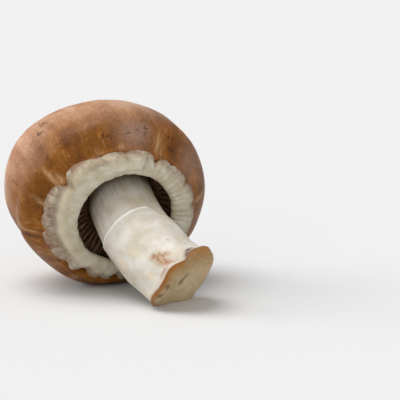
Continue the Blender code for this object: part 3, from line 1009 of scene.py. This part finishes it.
def stemSection(share):  # centre and the two directions across the stem at a share of its length
    root, bend, end = stemValues["root"], stemValues["bend"], stemValues["end"]
    rest = 1 - share
    centre = root * rest * rest + bend * 2 * share * rest + end * share * share
    along = ((bend - root) * rest + (end - bend) * share).normalized()
    facing = Vector((0, 0, 1)).lerp(along, ease(0.0, 0.4, share))
    facing = facing.lerp(stemValues["cutFacing"], ease(0.6, 1.0, share)).normalized()
    across = (Vector((1, 0, 0)) - facing * facing.x).normalized()
    return centre, facing, across, facing.cross(across)


def stemSurface(angle, share, width):
    values = stemValues
    lip = values["lip"]
    moved = share + 0.35 - ledgeShare(angle)
    bare = stemRadius(min(1.0, max(0.0, share + (moved - share) * ease(0.62, 0.45, share))))
    radius = width * bare
    oval = math.cos(math.radians(2 * (angle - values["ovalAngle"])))
    radius *= 1 + values["oval"] * ease(0.3, 1.0, share) * oval
    radius += width * lip["size"] * ease(0.85, 1.0, share) * swell(angle, lip["angle"], lip["width"])
    waist = values["waist"]
    narrowed = ease(*waist["from"], share) * ease(*waist["to"], share)
    radius -= width * waist["size"] * narrowed * swell(angle, waist["angle"], waist["width"])
    for middle, size, wide, start in values["rimShape"]:
        if share > start:
            radius += width * size * ease(start, 1.0, share) * swell(angle, middle, wide)
    radius += values["unevenness"] * share * ringNoise(angle, 1.6, share * 3) * ease(0.3, 0.6, width)
    return radius


def rimPush(angle, share):  # how far the cut's edge stands further out along the stem
    if share < 0.8:
        return 0.0
    push = swells(angle, stemValues["rimPush"])
    return (push + 0.12 * ringNoise(angle, 7, 3.3)) * ease(0.8, 1.0, share)


def stemRelief(angle, share, spot):
    values = stemValues
    ledge = ledgeShare(angle)
    onLedge = bell((share - ledge) / values["ledgeWidth"])
    groove = bell((share - ledge + 0.02) / values["grooveWidth"])
    relief = values["ledgeSize"] * onLedge - values["grooveDepth"] * groove
    relief *= ledgeKept(angle, 0.75)
    above = ease(ledge, ledge - 0.05, share)
    relief += (0.05 + 0.12 * above) * streakNoise(angle, 9, share, 3.0)
    relief += (0.3 - 0.15 * above) * noise.noise(spot / 6.5) + 0.06 * noise.noise(spot / 1.8)
    return relief


def faceRelief(across, down):  # the cut face in mm from its middle: a crack, folds and rough flesh
    crack, folds = stemValues["crack"], stemValues["folds"]
    aside = (across - crack.x) * 0.86 + (down - crack.y) * 0.51
    along = (across - crack.x) * 0.51 - (down - crack.y) * 0.86
    split = bell(aside / 0.42) * ease(3.0, 0.8, abs(along))
    hollow = math.exp(-((aside / 1.5) ** 2) - (along / 3.4) ** 2)
    spot = Vector((across, down, 0.0))
    relief = dented(spot, stemValues["faceDents"]) - 0.5 * split - 0.3 * hollow
    reach = math.hypot(across - folds.x, down - folds.y)
    wave = math.sin(2.6 * reach + noise.noise(spot / 1.5))
    folded = ease(5.0, 2.4, reach)
    relief += 0.34 * wave * folded
    # the last value is painted shade in the troughs of the folds
    return relief, split, folded * (0.5 - 0.5 * wave)


def makeStem():
    values = stemValues
    rings, faceRings = values["rings"], values["faceRings"]
    line = [Vector((width, 0.0)) for width in (0.0, 0.5, 0.9)]
    line += [Vector((1.0, -index / rings)) for index in range(rings + 1)]
    line += [Vector((1 - index / faceRings, -1.0 - index * 0.001)) for index in range(1, faceRings + 1)]
    shape = spinLine(line, values["steps"])
    wide = shape.verts.layers.float["wide"]
    place = shape.verts.layers.float_vector.new("stemPlace")
    names = ("share", "face", "rim", "band", "crack", "fold", "white", "ledge", "above", *stemMarks)
    layers = {name: shape.verts.layers.float.new("stem" + name.capitalize()) for name in names}
    known = {}
    near = {}
    sections = {}
    for point in shape.verts:
        width = point[wide]
        angle = angleOf(point.co)
        share = min(1.0, max(0.0, -point.co.z))
        onFace = point.co.z < -1.0005
        known[point] = (angle, share, width, onFace)
        if share not in sections:
            sections[share] = stemSection(share)
        centre, facing, across, down = sections[share]
        radius = stemSurface(angle, share, width)
        sideways, downwards = onCircle(angle, radius)
        spot = centre + across * sideways + down * downwards
        spot += facing * rimPush(angle, share) * ease(0.0, 1.0, width)
        crack = 0.0
        fold = 0.0
        if onFace:
            relief, crack, fold = faceRelief(sideways, downwards)
            dish = values["dish"] * (1 - ease(0.55, 0.97, width))
            spot += facing * (relief * ease(1.0, 0.9, width) - dish)
        inward = stemRadius(1.0) * (1 - width)
        aboveCut = values["length"] * (1 - share)
        roll = values["rimRoll"] + swells(angle, values["rimRolls"])
        strong = values["band"] + swells(angle, values["bands"]) + 0.1 * ringNoise(angle, 6, 2.2)
        away = inward if onFace else aboveCut
        onStem = width > 0.99 and not onFace
        flat = (sideways, downwards, values["length"])
        point[place] = Vector(flat if onFace else (*onCircle(angle, 9.0), share * values["length"]))
        rim = bell(away / roll) * (0.55 + 0.45 * swell(angle, 240, 70))
        band = min(1.0, strong) * math.exp(-((inward / values["bandWidth"]) ** 2.6))
        white = (Vector((sideways, downwards)) - values["whiteSpot"]).length
        ledge = ledgeShare(angle)
        setLayers(point, layers, {
            "share": share,
            "face": ease(0.0, 0.4, inward) if onFace else 0.0,
            "rim": rim if share > 0.9 else 0.0,
            "band": band if onFace else 0.0,
            "crack": crack,
            "fold": fold,
            "white": 0.65 * ease(1.2, 0.3, white) if onFace else 0.0,
            "ledge": ledgeKept(angle, 0.8) * bell((share - ledge) / 0.008) if onStem else 0.0,
            "above": ease(ledge + 0.01, ledge - 0.01, share),
        })
        paintMarks(point, layers, stemMarks, near, angle, share, onStem)
        point.co = Vector((spot.x, spot.y, -spot.z))
    bmesh.ops.recalc_face_normals(shape, faces=shape.faces)
    shape.normal_update()
    for point in shape.verts:
        angle, share, width, onFace = known[point]
        if width > 0.99 and not onFace:
            relief = stemRelief(angle, share, point.co) + 0.12 * point[layers["stain"]]
            point.co += point.normal * relief * ease(0.0, 0.06, share) * ease(1.0, 0.985, share)
    return finishPiece("stemFlesh", shape, makeStemMaterial(), "stem")


def makeStemMaterial():
    material, tree, shader = newMaterial("stemFlesh", Specular_IOR_Level=0.32)
    place = attribute(tree, "stemPlace", "Vector")
    share = attribute(tree, "stemShare")
    broad = noiseAt(tree, place, 0.22, 4.0, 0.55)
    fibres = fibresAt(tree, place, 2.2, 0.25, 0.8)
    colour = ramp(tree, broad, [(0.32, 190, 180, 160), (0.5, 203, 196, 182), (0.66, 214, 209, 200)])
    lines = between(tree, fibres, 0.45, 0.3, 0.0, 0.16)
    grey = times(tree, attribute(tree, "stemAbove"), between(tree, broad, 0.34, 0.6, 0.65, 0.3))
    strokes = between(tree, fibres, 0.46, 0.34, 0.0, 0.35)
    strokes = times(tree, between(tree, share, 0.3, 0.14), strokes)
    # darker brown towards the root: spore stain with painted shade under the cap
    root = between(tree, share, 0.15, 0.05, 0.0, 0.9)
    patches = noiseAt(tree, place, 1.0, 4.0, 0.65)
    torn = between(tree, patches, 0.3, 0.46, 0.7, 1.0)
    stain = times(tree, attribute(tree, "stemStain"), torn)
    stainTone = ramp(tree, fibres, [(0.36, 138, 88, 52), (0.5, 162, 114, 76), (0.64, 192, 154, 120)])
    # the cut face is brownish towards its top and paler towards the bottom: brownish flesh with painted
    # light on the lower part
    down = addNode(tree, "SeparateXYZ", {0: place}).outputs["Y"]
    level = timesPlus(tree, patches, 14.0, calculate(tree, "SUBTRACT", down, 7.0))
    faceFleshAndPaintedLight = mixed(tree, between(tree, level, -7.0, 4.0), paint(168, 134, 84), paint(208, 188, 150))
    colour = coats(tree, colour, [
        (lines, 204, 190, 166),
        ("stemTint", 226, 204, 164),
        (grey, 190, 176, 150),
        (strokes, 134, 112, 82),
        (root, 104, 80, 54),
        ("stemLedge", 246, 246, 242),
        (stain, stainTone),
        ("stemBruise", 74, 44, 46),
        ("stemFace", faceFleshAndPaintedLight),
        # painted shade in the troughs of the folds
        (times(tree, attribute(tree, "stemFold"), 0.75), 128, 84, 44),
        ("stemBand", 172, 106, 8),
        ("stemRim", 148, 86, 20),
        ("stemCrack", 84, 66, 46),
        ("stemWhite", 226, 220, 208),
    ])
    tree.links.new(colour, shader.inputs["Base Color"])
    tree.links.new(between(tree, broad, 0.3, 0.7, 0.58, 0.46), shader.inputs["Roughness"])
    height = timesPlus(tree, patches, 0.6, fibres)
    addBump(tree, shader, height, 0.16, 0.12)
    return material


makeStem()


# Floor and light

stageValues = {
    "floorSize": 12.0,
    "floorTone": 0.655,
    "seen": 0.887,
    "around": 0.5,
}

lightValues = {
    "key": {"from": Vector((-0.32, 0.12, 1.0)), "energy": 2.0, "spread": 42, "colour": (1.0, 1.0, 1.0)},
    "fill": {"from": Vector((-0.45, -0.8, 0.5)), "energy": 0.6, "spread": 60, "colour": (1, 0.995, 0.985)},
    "side": {"from": Vector((-0.75, 0.5, 0.5)), "energy": 1.0, "spread": 40, "colour": (1.0, 0.99, 0.99)},
}


def makeFloor():
    shape = bmesh.new()
    bmesh.ops.create_grid(shape, x_segments=2, y_segments=2, size=stageValues["floorSize"] / 2)
    mesh = bpy.data.meshes.new("floor")
    shape.to_mesh(mesh)
    shape.free()
    floor = addObject("floor", mesh)
    material, _, shader = newMaterial("floorPaper", Roughness=1.0, Specular_IOR_Level=0.0)
    tone = stageValues["floorTone"]
    shader.inputs["Base Color"].default_value = (tone, tone, tone, 1)
    mesh.materials.append(material)


def makeWorld():  # lights from all round, and shows the same pale tone as the floor
    world = bpy.data.worlds.new("studio")
    bpy.context.scene.world = world
    world.use_nodes = True
    tree = world.node_tree
    seen = tree.nodes["Background"]
    seen.inputs["Color"].default_value = (1, 1, 1, 1)
    seen.inputs["Strength"].default_value = stageValues["seen"]
    lit = addNode(tree, "Background", {"Color": (1, 1, 1, 1), "Strength": stageValues["around"]})
    path = addNode(tree, "LightPath")
    shown = {0: path.outputs["Is Camera Ray"], 1: lit.outputs[0], 2: seen.outputs[0]}
    both = addNode(tree, "MixShader", shown)
    tree.links.new(both.outputs[0], tree.nodes["World Output"].inputs["Surface"])


def makeLights():
    for name, values in lightValues.items():
        light = bpy.data.lights.new(name, "SUN")
        light.energy = values["energy"]
        light.angle = math.radians(values["spread"])
        light.color = values["colour"]
        addObject(name, light).rotation_euler = values["from"].to_track_quat("Z", "Y").to_euler()


makeFloor()
makeWorld()
makeLights()
bpy.context.scene.view_settings.view_transform = "Standard"
print("floor and lights made")
